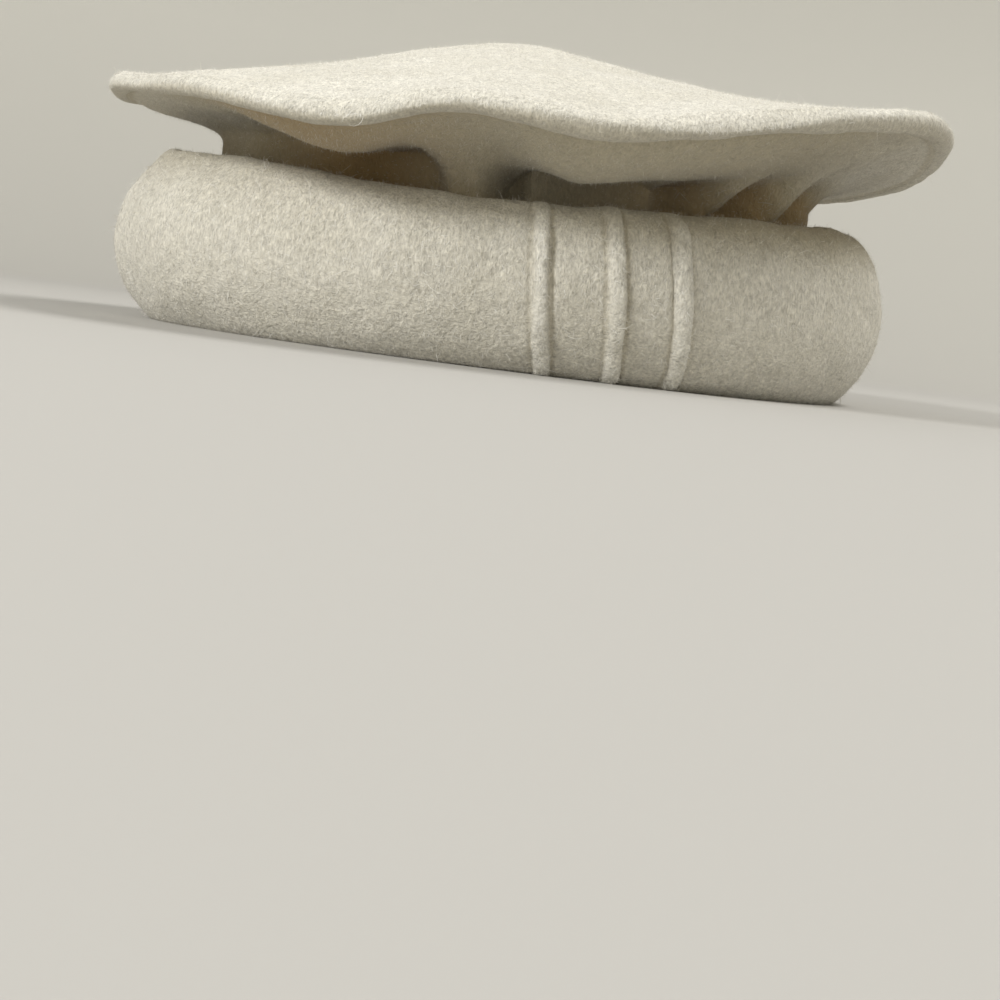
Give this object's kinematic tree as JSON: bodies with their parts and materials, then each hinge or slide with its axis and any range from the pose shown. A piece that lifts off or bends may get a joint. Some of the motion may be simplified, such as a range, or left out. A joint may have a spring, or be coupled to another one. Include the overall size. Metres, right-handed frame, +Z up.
{
  "type": "pakol",
  "caption": "Soft round hat of thick cream wool felt: a wavy domed crown with a turned edge, a gathered wall under it and a thick rolled band with sewn ribs that rests round the head.",
  "frame": {"origin": "middle of the opening for the head, on the surface that the hat rests on", "axes": "+Z up through the crown, -Y towards the front of the hat, +X towards the wearer's left, where the ribs are"},
  "size_m": [0.2788, 0.2808, 0.1064],
  "materials": {
    "wool_felt": "undyed cream wool felt with a brushed, hairy nap"
  },
  "bodies": {
    "root": {"crown_top": "wool_felt", "side_wall": "wool_felt", "rolled_band": "wool_felt"}
  },
  "joints": []
}
